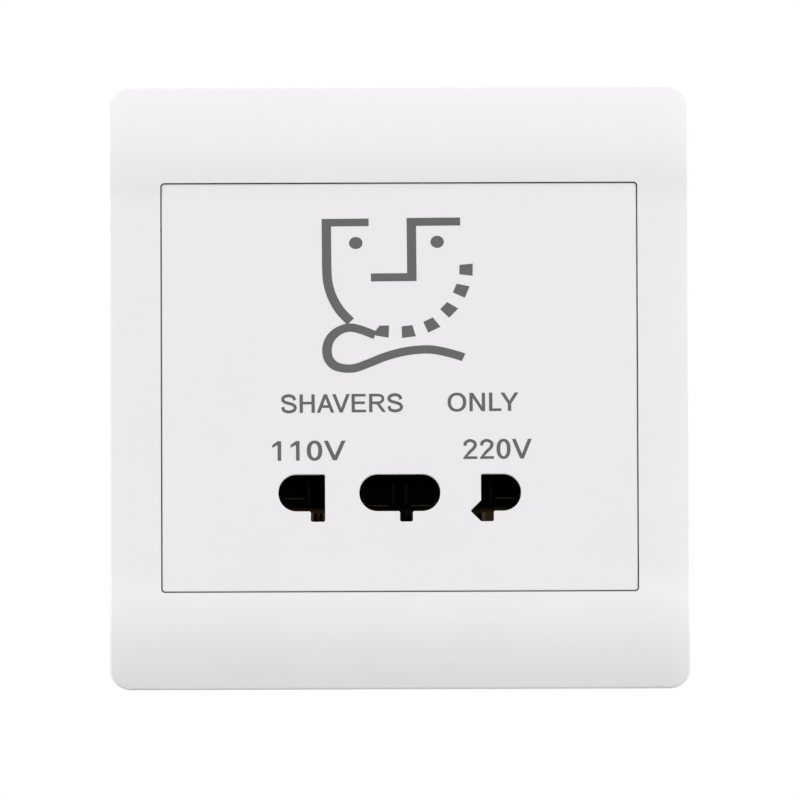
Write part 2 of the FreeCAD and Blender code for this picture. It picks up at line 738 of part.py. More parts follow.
def make_rear_case():
    body = new_body("rear_case")
    shell = middle_rectangle("case_x", "case_z", "case_corner")
    pad(body, "case_block", "XZ", "panel_rear", "case_depth", shell)
    fillet(body, "case_rear_edge", "case_rear_round", lambda edge: all_at(edge, "y", "case_depth"))
    bay = middle_rectangle("bay_x", "bay_z", "bay_corner")
    pocket(body, "case_bay", "XZ", "panel_rear", "bay_rear", bay)

    # Screw columns in the four corners
    spots = [(f"{i} * column_x", f"{k} * column_z") for i, k in CORNERS]
    columns = [circle(x, z, "column_radius") for x, z in spots]
    pad(body, "columns", "XZ", "column_front", "bay_rear + case_wall / 2", *columns)
    wells = [circle(x, z, "head_well_radius") for x, z in spots]
    pocket(body, "head_wells", "XZ", "head_seat", "case_depth", *wells)
    holes = [circle(x, z, "case_screw_radius + screw_clearance") for x, z in spots]
    pocket(body, "screw_holes", "XZ", "column_front", "head_seat", *holes)

    # Ledges above and below the core, stops behind the carrier's ears
    lower = ("core_bottom - ledge_thick", "core_bottom")
    upper = ("core_top + core_clearance", "core_top + core_clearance + ledge_thick")
    half_ear = "ear_height / 2"
    for side in BOTH_SIDES:
        into_wall = f"{side} * (bay_x + case_wall / 2)"
        for bottom, top in (lower, upper):
            ledge = rectangle(f"{side} * (bay_x - ledge_reach)", into_wall, bottom, top)
            pad(body, "core_ledge", "XZ", "ledge_start", "bay_rear + case_wall / 2", ledge)
        stop = rectangle(
            f"{side} * (carrier_x + carrier_clearance)", into_wall,
            f"aperture_middle - {half_ear}", f"aperture_middle + {half_ear}",
        )
        pad(body, "carrier_stop", "XZ", "carrier_rear", "carrier_rear + stop_rib_depth", stop)

    # Wire entry in the rear wall and screwdriver holes in the bottom wall
    entry_x = "clamp_place + clamp_half + entry_margin"
    entry = ring_rectangle(entry_x, "clamp_height / 2 + entry_margin", "clamp_middle", "entry_corner")
    pocket(body, "wire_entry", "XZ", "bay_rear", "case_depth", entry)
    reach = "clamp_screw_head_radius + head_clearance"
    drivers = [circle(f"{i} * clamp_place", "clamp_screw_y", reach) for i in BOTH_SIDES]
    pocket(body, "driver_holes", "XY", "-case_z", "-bay_z", *drivers)

    # Snap latches that hold the case in the bracket, each between two slits
    catch, lip = "bracket_rear + case_clearance / 3", "bracket_rear + case_clearance / 3 + latch_lip"
    slope_end = f"{lip} + latch_slope"
    for i, k in CORNERS:
        wall, peak = f"{k} * (case_z - case_wall / 2)", f"{k} * (gate_z + latch_catch)"
        wedge = outline((catch, wall), (catch, peak), (lip, peak), (slope_end, wall))
        start, stop = f"{i} * latch_place - latch_width / 2", f"{i} * latch_place + latch_width / 2"
        pad(body, "latch", "YZ", start, stop, wedge)
        for edge in (f"{start} - latch_slit", stop):
            cut = rectangle(edge, f"{edge} + latch_slit", f"{k} * bay_z", f"{k} * case_z")
            pocket(body, "latch_slit_cut", "XZ", "panel_rear", slope_end, cut)
    return body


# Contact carrier and its cover

def well_ranges():
    return (
        ("-left_well_outer", "-left_well_inner"),
        ("-middle_well", "middle_well"),
        ("right_well_inner", "right_well_outer"),
    )


STAKES = [(f"{i} * stake_place", "aperture_middle") for i in BOTH_SIDES]
TAG_X = ("-tag_side", "0", "tag_side")


def make_contact_carrier():
    body = new_body("contact_carrier")
    block = rectangle("-carrier_x", "carrier_x", "carrier_bottom", "carrier_top", "carrier_corner")
    pad(body, "carrier_block", "XZ", "panel_rear", "carrier_rear", block)
    ears = ring_rectangle("ear_x", "ear_height / 2", "aperture_middle")
    pad(body, "carrier_ears", "XZ", "carrier_rear - ear_thick", "carrier_rear", ears)
    for left, right in well_ranges():
        well = rectangle(left, right, "well_bottom", "well_top")
        pocket(body, "well", "XZ", "panel_rear", "web_front", well)
        shelf = rectangle(f"{left} - web_shelf", f"{right} + web_shelf", "well_bottom", "well_top")
        pocket(body, "web_seat", "XZ", "web_front", "carrier_rear", shelf)
    stakes = [circle(x, z, "stake_radius") for x, z in STAKES]
    pad(body, "stakes", "XZ", "carrier_rear", "cover_rear", *stakes)
    return body


def make_contact_cover():
    body = new_body("contact_cover")
    inset = "cover_inset"
    plate = rectangle(
        f"-carrier_x + {inset}", f"carrier_x - {inset}",
        f"carrier_bottom + {inset}", f"carrier_top - {inset}", "carrier_corner",
    )
    pad(body, "cover_plate", "XZ", "carrier_rear", "cover_rear", plate)
    holes = [circle(x, z, "stake_radius + stake_clearance") for x, z in STAKES]
    pocket(body, "stake_holes", "XZ", "carrier_rear", "cover_rear", *holes)
    half_wide, half_tall = "tag_width / 2 + tag_clearance", "strip / 2 + tag_clearance"
    for x in TAG_X:
        gap = rectangle(
            f"{x} - ({half_wide})", f"{x} + ({half_wide})",
            f"aperture_middle - ({half_tall})", f"aperture_middle + ({half_tall})",
        )
        pocket(body, "tag_gap", "XZ", "carrier_rear", "cover_rear", gap)
    return body


# Brass contacts, each a strip with sprung jaws, a blade fork and a solder tag

def leaf(middle, half, flare, side):
    """One spring leaf in plan: straight from the web, then flared open at its mouth."""
    inner, outer = f"{middle} + {side} * {half}", f"{middle} + {side} * ({half} + strip)"
    throat, root = "jaw_front + flare_length", "web_front + strip / 2"
    return outline(
        (inner, root), (inner, throat), (f"{inner} + {side} * {flare}", "jaw_front"),
        (f"{outer} + {side} * {flare}", "jaw_front"), (outer, throat), (outer, root),
    )


def make_contact(label, wells, jaws, fork, tag):
    body = new_body(label)
    gap = "web_clearance"
    left, right = (f"{wells[0]} - web_shelf + {gap}", f"{wells[1]} + web_shelf - {gap}")
    web = rectangle(left, right, f"well_bottom + {gap}", f"well_top - {gap}")
    pad(body, label + "_web", "XZ", "web_front", "carrier_rear", web)
    for side in BOTH_SIDES:
        for middle in jaws:
            pad(body, "jaw_leaf", "XY", "jaw_bottom", "jaw_top", leaf(middle, "jaw_half", "jaw_flare", side))
        blade = leaf(fork, "fork_half", "fork_flare", side)
        pad(body, "fork_leaf", "XY", "fork_bottom", "fork_top", blade)
    solder = rectangle(
        f"{tag} - tag_width / 2", f"{tag} + tag_width / 2",
        "aperture_middle - strip / 2", "aperture_middle + strip / 2",
    )
    pad(body, label + "_tag", "XZ", "carrier_rear", "tag_end", solder)
    return body


def make_contacts():
    left, middle, right = well_ranges()
    return [
        make_contact("contact_110v", left, ["-jaw_outer"], "left_fork", TAG_X[0]),
        make_contact("contact_common", middle, ["-jaw_inner", "jaw_inner"], "middle_fork", TAG_X[1]),
        make_contact("contact_220v", right, ["jaw_outer"], "right_fork", TAG_X[2]),
    ]


# Transformer

def make_transformer_core():
    body = new_body("transformer_core")
    leg = "lamination_leg"
    edge_x = f"1.5 * {leg}"
    outlines = [rectangle(f"-{edge_x}", edge_x, "core_front", "bay_rear")]
    for side in BOTH_SIDES:
        outlines.append(rectangle(f"{side} * {leg} / 2", f"{side} * {leg}", "slot_front", "slot_rear"))
        for y in (f"core_front + {leg} / 4", f"bay_rear - {leg} / 4"):
            outlines.append(circle(f"{side} * 1.25 * {leg}", y, "core_hole_radius"))
    pad(body, "laminations", "XY", "core_bottom", "core_top", *outlines)
    return body


def make_winding_bobbin():
    body = new_body("winding_bobbin")
    bore = ring_rectangle("bore_x", "bore_z", "core_lift")
    tube = ring_rectangle("tube_x", "tube_z", "core_lift")
    flange = ring_rectangle("bobbin_flange_x", "bobbin_flange_z", "core_lift", "winding_corner")
    pad(body, "tube", "XZ", "bobbin_front", "bobbin_rear", tube, bore)
    for start in ("bobbin_front", "secondary_rear", "primary_rear"):
        pad(body, "flange", "XZ", start, f"{start} + bobbin_flange", flange, bore)
    return body


def make_coil(label, inner, outer, front, rear):
    """A winding or its tape: a rounded ring between two flanges."""
    body = new_body(label)
    hole = ring_rectangle(f"{inner}_x", f"{inner}_z", "core_lift", *inner_round(inner))
    skin = ring_rectangle(f"{outer}_x", f"{outer}_z", "core_lift", *inner_round(outer))
    pad(body, label + "_ring", "XZ", f"{front} + winding_gap", f"{rear} - winding_gap", skin, hole)
    return body


def inner_round(name):
    rounds = {"tube": (), "winding": ("winding_corner",), "tape": ("winding_corner + tape_thick",)}
    return rounds[name]


def make_coils():
    made = []
    for word in ("primary", "secondary"):
        span = (f"{word}_front", f"{word}_rear")
        made.append(make_coil(f"{word}_winding", "tube", "winding", *span))
        made.append(make_coil(f"{word}_tape", "winding", "tape", *span))
    return made


def make_thermal_cutout():
    body = new_body("thermal_cutout")
    shape = rectangle("tape_x", "tape_x + cutout_width", "cutout_bottom", "cutout_top", "cutout_round")
    half = "cutout_length / 2"
    pad(body, "cutout_can", "XZ", f"primary_middle - {half}", f"primary_middle + {half}", shape)
    return body


# Mains terminals

def clamp_seat(side, gap):
    x = f"{side} * clamp_place"
    return rectangle(
        f"{x} - clamp_half - {gap}", f"{x} + clamp_half + {gap}",
        f"clamp_bottom - {gap}", f"clamp_top + {gap}",
    )


def clamp_tag(side, gap):
    x = f"{side} * clamp_place"
    return rectangle(
        f"{x} - tag_width / 2 - {gap}", f"{x} + tag_width / 2 + {gap}",
        f"clamp_middle - {gap}", f"clamp_tag_top + {gap}",
    )


def make_terminal_block():
    body = new_body("terminal_block")
    block = rectangle("-block_half", "block_half", "block_bottom", "block_top")
    pad(body, "block", "XZ", "block_front", "bay_rear", block)
    for side in BOTH_SIDES:
        seat = clamp_seat(side, "clamp_clearance")
        pocket(body, "clamp_bay", "XZ", "clamp_front", "bay_rear", seat)
        pocket(body, "tag_way", "XZ", "block_front", "clamp_front", clamp_tag(side, "clamp_clearance"))
        hole = circle(f"{side} * clamp_place", "clamp_screw_y", "clamp_screw_head_radius + head_clearance")
        pocket(body, "screw_way", "XY", "block_bottom", "clamp_bottom - clamp_clearance", hole)
    return body


def make_clamp(label, side):
    body = new_body(label)
    x = f"{side} * clamp_place"
    pad(body, label + "_block", "XZ", "clamp_front", "clamp_rear", clamp_seat(side, "0"))
    pad(body, label + "_tag", "XZ", "clamp_tag_end", "clamp_front", clamp_tag(side, "0"))
    bore = circle(x, "clamp_middle", "wire_bore_radius")
    pocket(body, label + "_bore", "XZ", "clamp_rear - wire_bore_depth", "clamp_rear", bore)
    thread = circle(x, "clamp_screw_y", "clamp_screw_radius + screw_clearance")
    pocket(body, label + "_thread", "XY", "clamp_bottom", "clamp_middle", thread)
    return body


# Screws: turned blanks with a drive recess, grouped by kind

def screw(name, plane, x, y, seat, tip, radius, head_radius, head_end):
    """A screw along the plane's normal: its shank from the seat to the tip, its head behind the seat."""
    body = new_body(name)
    rising = value(head_end) > value(seat)
    shank, head = ((tip, seat), (seat, head_end)) if rising else ((seat, tip), (head_end, seat))
    pad(body, name + "_shank", plane, *shank, circle(x, y, radius))
    pad(body, name + "_head", plane, *head, circle(x, y, head_radius))
    deep = f"{head_end} - drive_depth" if rising else f"{head_end} + drive_depth"
    recess = (deep, head_end) if rising else (head_end, deep)
    arm, thin = "drive_radius", "drive_radius / 4"
    cross = [(arm, thin), (thin, thin), (thin, arm)]
    quarter = cross + [(f"-({a})", b) for a, b in cross[::-1]]
    points = quarter + [(a, f"-({b})") for a, b in quarter[::-1]]
    star = outline(*[(f"{x} + {a}", f"{y} + {b}") for a, b in points])
    pocket(body, name + "_drive", plane, *recess, star)
    return body


def group(label, members):
    bundle = doc.addObject("Part::Compound", label)
    bundle.Label = label
    bundle.Links = members
    return bundle


def make_case_screws():
    tip = "column_front - case_screw_bite"
    members = [
        screw(
            f"case_screw_{n}", "XZ", f"{i} * column_x", f"{k} * column_z", "head_seat", tip,
            "pilot_radius", "case_screw_head_radius", "head_seat + case_screw_head",
        )
        for n, (i, k) in enumerate(CORNERS)
    ]
    return group("case_screws", members)


def make_terminal_screws():
    members = [
        screw(
            f"terminal_screw_{n}", "XY", f"{i} * clamp_place", "clamp_screw_y",
            "clamp_bottom", "wire_bore_bottom - screw_clearance",
            "clamp_screw_radius", "clamp_screw_head_radius", "clamp_bottom - clamp_screw_head",
        )
        for n, i in enumerate(BOTH_SIDES)
    ]
    return group("terminal_screws", members)


# Internal wiring: straight runs joined by tangent arcs

def make_lead(label, *route):
    spots = [Vector(*[value(text) for text in point]) for point in route]
    bend, radius = value("lead_bend"), value("lead_radius")
    edges, here = [], spots[0]
    for before, corner, after in zip(spots, spots[1:], spots[2:]):
        into, away = (corner - before).normalize(), (after - corner).normalize()
        turn = into.getAngle(away)
        trim = bend * math.tan(turn / 2)
        start, stop = corner - into * trim, corner + away * trim
        inward = (away - into).normalize()
        crown = corner + inward * (bend / math.cos(turn / 2) - bend)
        edges += [Part.LineSegment(here, start).toShape(), Part.Arc(start, crown, stop).toShape()]
        here = stop
    edges.append(Part.LineSegment(here, spots[-1]).toShape())
    path = Part.Wire(edges)
    ring = Part.Wire(Part.Circle(spots[0], spots[1] - spots[0], radius).toShape())
    feature = doc.addObject("Part::Feature", label)
    feature.Label = label
    feature.Shape = path.makePipeShell([ring], True, False)
    expected = math.pi * radius ** 2 * path.Length
    if abs(feature.Shape.Volume / expected - 1) > 0.01:
        raise RuntimeError(f"{label} has volume {feature.Shape.Volume}, not {expected}")
    return feature


def drop_lead(label, top_x, top_y, top_z, end_x, end_z):
    """A lead that leaves a coil downwards and swings over to the tag below it."""
    mid = f"({top_z} - lead_dip + {end_z} + lead_dip) / 2"
    return make_lead(
        label,
        (top_x, top_y, top_z), (top_x, top_y, f"{mid} + lead_dip"),
        (end_x, top_y, f"{mid} - lead_dip"), (end_x, top_y, end_z),
    )


def make_leads():
    made = []
    starts = ("-lead_side_start", "lead_radius * 3", "lead_side_start")
    for label, top_x, tag in zip(("lead_110v", "common_lead", "lead_220v"), starts, TAG_X):
        made.append(drop_lead(label, top_x, "lead_y", "tape_bottom", tag, "tag_top"))
    made.append(drop_lead(
        "neutral_lead", "-mains_lead_start", "mains_lead_y", "tape_bottom", "-clamp_place", "clamp_tag_top",
    ))
    made.append(drop_lead(
        "live_lead", "cutout_middle_x", "mains_lead_y", "cutout_bottom", "clamp_place", "clamp_tag_top",
    ))
    dip = "cutout_bottom - lead_dip"
    made.append(make_lead(
        "cutout_lead",
        ("cutout_middle_x", "link_y", "cutout_bottom"), ("cutout_middle_x", "link_y", dip),
        ("mains_lead_start", "link_y", dip), ("mains_lead_start", "link_y", "tape_bottom"),
    ))
    return made


# Build, check and write

nodes = [
    make_cover_frame(), make_socket_panel(), make_mounting_bracket(), make_rear_case(),
    make_contact_carrier(), make_contact_cover(), *make_contacts(),
    make_transformer_core(), make_winding_bobbin(), *make_coils(), make_thermal_cutout(),
    make_terminal_block(), make_clamp("live_clamp", 1), make_clamp("neutral_clamp", -1),
    make_terminal_screws(), make_case_screws(), *make_leads(),
]
doc.recompute()

for item in doc.Objects:
    if {"Invalid", "Error"} & set(item.State):
        raise RuntimeError(f"{item.Label} failed: {item.State}")
for item in doc.Objects:
    if item.TypeId == "PartDesign::Pocket":
        if item.Shape.Volume > item.BaseFeature.Shape.Volume - 1e-6:
            raise RuntimeError(f"{item.Label} cuts nothing")
for node in nodes:
    if node.Shape.isNull() or not node.Shape.isValid() or not node.Shape.Solids:
        raise RuntimeError(f"{node.Label} has no valid solid")

os.makedirs("parts", exist_ok=True)
for node in nodes:
    node.Shape.exportStep(f"parts/{node.Label}.step")
    print(node.Label, len(node.Shape.Solids), round(node.Shape.Volume, 2))
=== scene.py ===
# %% [markdown]
# # A wall shaver socket
# The real thing is a white wall plate with two shaver outlets. Behind its curved frame and flat panel
# sit a contact carrier and a small isolating transformer. All of that was drawn as solids in CAD, so
# this lesson only dresses those solids: finishes, the grey print, the light and the camera.

# %% Load the frame
import json
import math

import bmesh
import bpy
from mathutils import Matrix, Vector

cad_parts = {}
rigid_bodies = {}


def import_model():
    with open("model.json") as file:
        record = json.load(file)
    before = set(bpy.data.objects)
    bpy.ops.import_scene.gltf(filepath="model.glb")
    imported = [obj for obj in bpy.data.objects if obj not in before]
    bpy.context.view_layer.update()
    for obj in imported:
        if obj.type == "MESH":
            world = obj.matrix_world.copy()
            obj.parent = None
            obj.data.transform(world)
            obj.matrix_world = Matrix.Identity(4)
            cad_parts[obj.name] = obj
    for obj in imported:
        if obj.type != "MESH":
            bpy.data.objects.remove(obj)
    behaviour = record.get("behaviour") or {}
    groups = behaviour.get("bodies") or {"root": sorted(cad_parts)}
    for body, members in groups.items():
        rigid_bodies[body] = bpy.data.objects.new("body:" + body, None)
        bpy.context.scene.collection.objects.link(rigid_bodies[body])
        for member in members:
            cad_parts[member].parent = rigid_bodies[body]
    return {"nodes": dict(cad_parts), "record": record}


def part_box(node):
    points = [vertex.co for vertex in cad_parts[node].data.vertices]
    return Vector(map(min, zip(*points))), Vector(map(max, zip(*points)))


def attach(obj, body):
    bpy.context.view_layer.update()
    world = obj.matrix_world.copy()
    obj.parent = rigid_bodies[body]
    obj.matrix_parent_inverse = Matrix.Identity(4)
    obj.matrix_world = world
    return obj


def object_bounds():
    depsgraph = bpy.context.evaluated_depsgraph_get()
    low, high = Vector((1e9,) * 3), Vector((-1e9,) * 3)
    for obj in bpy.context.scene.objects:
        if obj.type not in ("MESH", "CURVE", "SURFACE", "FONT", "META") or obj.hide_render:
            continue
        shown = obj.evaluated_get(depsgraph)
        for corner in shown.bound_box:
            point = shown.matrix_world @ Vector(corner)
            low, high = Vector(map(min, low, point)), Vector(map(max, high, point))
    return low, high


MM = 0.001
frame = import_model()
nodes = frame["nodes"]
cad_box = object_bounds()
scene = bpy.context.scene
scene.view_settings.view_transform = "Standard"
print(len(nodes), "nodes loaded, box", [tuple(corner) for corner in cad_box])

# %% [markdown]
# ## The camera
# A product photograph of a plate is taken from far off with a long lens, so that its sides stay
# almost parallel. Where the panel lies within the plate's outline shows where the camera stood: level
# with the middle from side to side, a little below it, and turned by a fifth of a degree. Angles,
# distance and scale are all that it takes to place it, so no lens shift is needed.

# %% Place the camera
view_azimuth = math.radians(-0.2)
view_elevation = math.radians(-2.4)
view_roll = math.radians(-0.21)
view_distance = 1.30
photo_side = 800
photo_pixels_per_mm = 6.69
sight_point = Vector((0.10, 0.0, -1.57)) * MM


def look_from(azimuth, elevation, distance):
    """The way from the socket to the camera; nought and nought is straight in front."""
    flat = math.cos(elevation)
    return Vector((math.sin(azimuth) * flat, -math.cos(azimuth) * flat, math.sin(elevation))) * distance


camera = bpy.data.objects.new("camera", bpy.data.cameras.new("camera"))
scene.collection.objects.link(camera)
scene.camera = camera
camera.location = sight_point + look_from(view_azimuth, view_elevation, view_distance)
aim = (sight_point - camera.location).to_track_quat("-Z", "Y").to_matrix().to_4x4()
camera.matrix_world = Matrix.Translation(camera.location) @ aim @ Matrix.Rotation(view_roll, 4, "Z")
field = photo_side / photo_pixels_per_mm * MM
camera.data.sensor_fit = "HORIZONTAL"
camera.data.lens = camera.data.sensor_width * view_distance / field
print("lens", round(camera.data.lens, 1), "mm over a field of", round(field / MM, 1), "mm")

# %% [markdown]
# ## Moulded plastic
# The plate is injection moulded: a satin white with the fine grain that spark erosion leaves in the
# mould, and hardly any change of tone. A plain colour would look like paper, so a slow noise drifts
# the colour, a fine noise drifts the gloss, and the same fine noise lifts the surface by microns.
# One helper makes every moulded part, because only colour, gloss and grain differ between them.

# %% Helper for moulded plastic
noise_low, noise_high = 0.3, 0.7
blotch_mm = 18.0
gloss_drift = 0.03


def new_finish(name):
    """A material with its shader, and a mapping in metres of the part's own frame."""
    finish = bpy.data.materials.new(name)
    finish.use_nodes = True
    tree = finish.node_tree
    shader = tree.nodes["Principled BSDF"]
    place = tree.nodes.new("ShaderNodeTexCoord")
    return finish, tree, shader, place.outputs["Object"]


def noise(tree, place, grain_mm, detail=2.0):
    """A noise whose lumps are about grain_mm wide."""
    node = tree.nodes.new("ShaderNodeTexNoise")
    node.inputs["Scale"].default_value = 1.0 / (grain_mm * MM)
    node.inputs["Detail"].default_value = detail
    tree.links.new(place, node.inputs["Vector"])
    return node.outputs["Fac"]


def drift(tree, factor, low, high):
    """Spread a noise between two values."""
    node = tree.nodes.new("ShaderNodeMapRange")
    node.inputs["From Min"].default_value = noise_low
    node.inputs["From Max"].default_value = noise_high
    node.inputs["To Min"].default_value = low
    node.inputs["To Max"].default_value = high
    tree.links.new(factor, node.inputs["Value"])
    return node.outputs["Result"]


def between(tree, factor, first, second):
    """Drift between two colours."""
    node = tree.nodes.new("ShaderNodeValToRGB")
    node.color_ramp.elements[0].position = noise_low
    node.color_ramp.elements[1].position = noise_high
    node.color_ramp.elements[0].color = (*first, 1.0)
    node.color_ramp.elements[1].color = (*second, 1.0)
    tree.links.new(factor, node.inputs["Fac"])
    return node.outputs["Color"]


def lift(tree, shader, height, depth_mm):
    """Turn a height into bump, depth_mm from its lowest to its highest."""
    node = tree.nodes.new("ShaderNodeBump")
    node.inputs["Strength"].default_value = 1.0
    node.inputs["Distance"].default_value = depth_mm * MM
    tree.links.new(height, node.inputs["Height"])
    tree.links.new(node.outputs["Normal"], shader.inputs["Normal"])


def scaled(colour, factor):
    """A colour made darker or lighter."""
    return tuple(channel * factor for channel in colour)


def moulded(name, colour, gloss, grain_mm=0.35, depth_mm=0.0015, tone=0.012):
    """Plastic whose colour drifts by the share tone, with a fine grain."""
    finish, tree, shader, place = new_finish(name)
    blotch = noise(tree, place, blotch_mm)
    grain = noise(tree, place, grain_mm)
    tree.links.new(between(tree, blotch, scaled(colour, 1 - tone), colour), shader.inputs["Base Color"])
    tree.links.new(drift(tree, grain, gloss - gloss_drift, gloss + gloss_drift), shader.inputs["Roughness"])
    lift(tree, shader, grain, depth_mm)
    return finish


# %% The plastics of this socket
plate_white = (0.800, 0.780, 0.800)
bracket_white = (0.74, 0.73, 0.72)
case_white = (0.74, 0.73, 0.71)
finishes = {
    "frame_white": moulded("frame_white", plate_white, gloss=0.42),
    "panel_white": moulded("panel_white", plate_white, gloss=0.40),
    "bracket_white": moulded("bracket_white", bracket_white, gloss=0.55, grain_mm=0.5, depth_mm=0.004),
    "case_white": moulded("case_white", case_white, gloss=0.52, grain_mm=0.5, depth_mm=0.004),
    "carrier_black": moulded("carrier_black", (0.012, 0.012, 0.013), gloss=0.55, tone=0.2),
    "bobbin_black": moulded("bobbin_black", (0.035, 0.035, 0.038), gloss=0.5, tone=0.15),
    "cutout_case": moulded("cutout_case", (0.10, 0.075, 0.06), gloss=0.45, tone=0.15),
    "terminal_grey": moulded("terminal_grey", (0.48, 0.49, 0.50), gloss=0.5, tone=0.05),
}
print(len(finishes), "moulded plastics")

# %% [markdown]
# ## Metal and wire
# The contacts are pressed from brass strip, the core is a stack of thin varnished steel sheets, and
# the coils are enamelled copper wire under yellow tape. Stacks and turns are stripes at a fixed
# pitch, so a wave along one axis gives both their lines and their relief.

# %% Helpers for metal and for stripes
metal_drift = 0.06
metal_grain_mm = 0.001
rub_mm, rub_drift = 2.0, 0.05


def stripes(tree, place, axis, pitch_mm):
    """A wave along one axis of the part, one crest per pitch."""
    node = tree.nodes.new("ShaderNodeTexWave")
    node.wave_type = "BANDS"
    node.bands_direction = axis
    node.wave_profile = "SIN"
    node.inputs["Scale"].default_value = math.pi / 10.0 / (pitch_mm * MM)
    tree.links.new(place, node.inputs["Vector"])
    return node.outputs["Fac"]


def rolled_metal(name, colour, gloss, tarnish, stain_mm=3.0, grain_mm=0.6):
    """Bare metal, stained here and there by the share tarnish."""
    finish, tree, shader, place = new_finish(name)
    stain = noise(tree, place, stain_mm, detail=4.0)
    grain = noise(tree, place, grain_mm)
    tree.links.new(between(tree, stain, scaled(colour, tarnish), colour), shader.inputs["Base Color"])
    tree.links.new(drift(tree, grain, gloss - metal_drift, gloss + metal_drift), shader.inputs["Roughness"])
    shader.inputs["Metallic"].default_value = 1.0
    lift(tree, shader, grain, metal_grain_mm)
    return finish


def striped(name, dark, light, axis, pitch_mm, depth_mm, gloss, metal):
    """A stack of sheets or turns: dark between them, light on them."""
    finish, tree, shader, place = new_finish(name)
    lines = stripes(tree, place, axis, pitch_mm)
    tree.links.new(between(tree, lines, dark, light), shader.inputs["Base Color"])
    rub = noise(tree, place, rub_mm)
    tree.links.new(drift(tree, rub, gloss - rub_drift, gloss + rub_drift), shader.inputs["Roughness"])
    shader.inputs["Metallic"].default_value = metal
    lift(tree, shader, lines, depth_mm)
    return finish


# %% The metals and the wiring of this socket
sheet_mm = 0.5
turn_mm = 0.28
tape_mm = turn_mm * 6
finishes["contact_brass"] = rolled_metal("contact_brass", (0.62, 0.43, 0.18), gloss=0.38, tarnish=0.72)
finishes["screw_steel"] = rolled_metal("screw_steel", (0.60, 0.60, 0.62), gloss=0.32, tarnish=0.85)
finishes["core_steel"] = striped(
    "core_steel", (0.10, 0.10, 0.11), (0.32, 0.32, 0.34), "Z", sheet_mm, 0.05, gloss=0.45, metal=0.9)
finishes["copper_wire"] = striped(
    "copper_wire", (0.28, 0.09, 0.04), (0.72, 0.33, 0.16), "Y", turn_mm, 0.08, gloss=0.28, metal=1.0)
finishes["yellow_tape"] = striped(
    "yellow_tape", (0.72, 0.52, 0.06), (0.80, 0.60, 0.08), "Y", tape_mm, 0.02, gloss=0.30, metal=0.0)
wire_colours = {
    "lead_brown": (0.16, 0.06, 0.03),
    "lead_blue": (0.03, 0.10, 0.36),
    "lead_red": (0.42, 0.025, 0.02),
    "lead_white": (0.72, 0.72, 0.70),
}
for name, colour in wire_colours.items():
    finishes[name] = moulded(name, colour, gloss=0.38, grain_mm=0.8, tone=0.08)
print(len(finishes), "finishes in all")

# %% [markdown]
# ## Dress the CAD nodes
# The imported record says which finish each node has. Following it keeps the scene and the record in
# step, and a node added later in CAD gets its finish with no change here.

# %% Give every node its finish
for part in frame["record"]["subparts"]:
    mesh = nodes[part["node"]].data
    mesh.materials.clear()
    mesh.materials.append(finishes[part["material_slot"]])
    mesh.polygons.foreach_set("material_index", [0] * len(mesh.polygons))

# %% [markdown]
# ## The contacts, deep in the apertures
# The contacts are brass too, but deep in the apertures their colour is painted almost black as shade.
# Only low in the outer slots they stay a lighter brown, and a thin paler line on the pressed lip of each
# jaw is a painted highlight. The shader reads the height and mixes three browns.

# %% Helper for contacts with painted shade
def rise(tree, value, low, high):
    """Nought below low, one above high."""
    node = tree.nodes.new("ShaderNodeMapRange")
    node.inputs["From Min"].default_value = low
    node.inputs["From Max"].default_value = high
    tree.links.new(value, node.inputs["Value"])
    return node.outputs["Result"]


def mixed(tree, factor, first, second):
    """One colour for a factor of nought, the other for one."""
    node = tree.nodes.new("ShaderNodeMix")
    node.data_type = "RGBA"
    tree.links.new(factor, node.inputs[0])
    tree.links.new(first, node.inputs[6])
    tree.links.new(second, node.inputs[7])
    return node.outputs[2]


def sums(tree, operation, first, *numbers):
    """One step of arithmetic on a value."""
    node = tree.nodes.new("ShaderNodeMath")
    node.operation = operation
    tree.links.new(first, node.inputs[0])
    for socket, number in zip(node.inputs[1:], numbers):
        socket.default_value = number
    return node


# Painted shade: the contacts are lighter brown below the first height and painted near black as shade above
# the second.
brown_top, shade_foot = -18.2, -17.3
glint_half = 0.08
dirt_mm, dirt_lift = 1.2, 0.002
shade_dark, shade_light = (0.002, 0.0017, 0.001), (0.005, 0.004, 0.002)
# Painted highlight: the colours of a thin paler line along the pressed lip of each jaw.
glint_dark, glint_light = (0.06, 0.05, 0.03), (0.12, 0.10, 0.06)


def shaded_brass(name, low_brown, glint_z, glint_x):
    """Brass with painted shade, lighter brown low down and near black above, and a painted highlight line
    at one height, beyond a given distance sideways.
    """
    finish, tree, shader, place = new_finish(name)
    stain = noise(tree, place, dirt_mm, detail=4.0)
    split = tree.nodes.new("ShaderNodeSeparateXYZ")
    tree.links.new(place, split.inputs["Vector"])
    height = split.outputs["Z"]
    sideways = sums(tree, "ABSOLUTE", split.outputs["X"]).outputs["Value"]
    # Where the painted highlight line goes: at one height, and beyond a given distance sideways.
    level_with = sums(tree, "COMPARE", height, glint_z * MM, glint_half * MM).outputs["Value"]
    on_glint = sums(tree, "MULTIPLY", level_with)
    tree.links.new(sums(tree, "GREATER_THAN", sideways, glint_x * MM).outputs["Value"], on_glint.inputs[1])
    brown = between(tree, stain, scaled(low_brown, 0.6), low_brown)
    painted_shade = between(tree, stain, shade_dark, shade_light)
    glint = between(tree, stain, glint_dark, glint_light)
    # Painted shade: near black above, lighter brown below.
    shaded_colour = mixed(tree, rise(tree, height, brown_top * MM, shade_foot * MM), brown, painted_shade)
    tree.links.new(mixed(tree, on_glint.outputs["Value"], shaded_colour, glint), shader.inputs["Base Color"])
    tree.links.new(drift(tree, stain, 0.42, 0.58), shader.inputs["Roughness"])
    shader.inputs["Metallic"].default_value = 1.0
    lift(tree, shader, stain, dirt_lift)
    return finish
